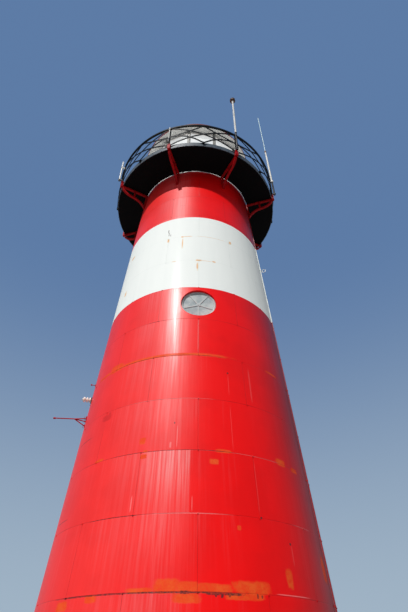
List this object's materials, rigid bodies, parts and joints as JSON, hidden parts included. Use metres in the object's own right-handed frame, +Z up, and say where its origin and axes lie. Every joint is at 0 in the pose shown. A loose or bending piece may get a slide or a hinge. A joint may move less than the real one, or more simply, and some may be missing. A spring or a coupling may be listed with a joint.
{
  "type": "cast-iron lighthouse",
  "caption": "Round tapering iron light tower with a white band, portholes, a bracketed gallery with lattice railing and a glazed lantern under a conical roof.",
  "frame": {"origin": "centre of the ground slab's underside, on the tower's axis at ground level", "axes": "+Z up along the tower's axis, -Y towards the side with the front porthole, +Y towards the ground door"},
  "size_m": [5.2706, 5.1099, 18.1594],
  "materials": {
    "red_paint": "gloss red paint with worn seams",
    "white_paint": "gloss white paint with rust spots",
    "black_paint": "matt black paint",
    "grey_paint": "light grey paint",
    "lantern_white": "white paint",
    "soffit_cream": "cream paint",
    "floor_stone": "bare concrete",
    "floor_iron": "chequered iron",
    "frosted_glass": "frosted wired glass",
    "clear_glass": "clear lantern glass",
    "knob_brass": "worn brass",
    "aerial_white": "weathered white fibreglass",
    "insulator_white": "glazed white ceramic"
  },
  "bodies": {
    "root": {"base_tier": "red_paint", "lower_tier": "red_paint", "middle_tier": "red_paint", "window_tier": "red_paint", "white_tier": "white_paint", "crown_tier": "red_paint", "ground_floor": "floor_stone", "upper_floor": "floor_iron", "lantern_floor": "lantern_white", "porthole_panes": "frosted_glass", "entrance_frame": "white_paint", "entrance_door": "red_paint", "entrance_knob": "knob_brass", "gallery_deck": "black_paint", "gallery_rim": "grey_paint", "gallery_brackets": "red_paint", "bracket_tips": "red_paint", "railing_posts": "black_paint", "railing_lattice": "black_paint", "handrail": "black_paint", "lantern_wall": "lantern_white", "lantern_sill": "lantern_white", "lantern_mullions": "lantern_white", "lantern_glazing": "clear_glass", "lantern_head": "lantern_white", "lantern_door": "lantern_white", "lantern_ceiling": "soffit_cream", "lantern_roof": "red_paint", "roof_ventilator": "red_paint", "mast": "grey_paint", "whip_aerial": "aerial_white", "tube_aerial": "aerial_white", "short_pole": "grey_paint", "lightning_conductor": "grey_paint", "eye_ring": "white_paint", "wall_hook": "red_paint", "insulator_bracket": "black_paint", "insulators": "insulator_white", "outrigger": "red_paint"}
  },
  "joints": []
}
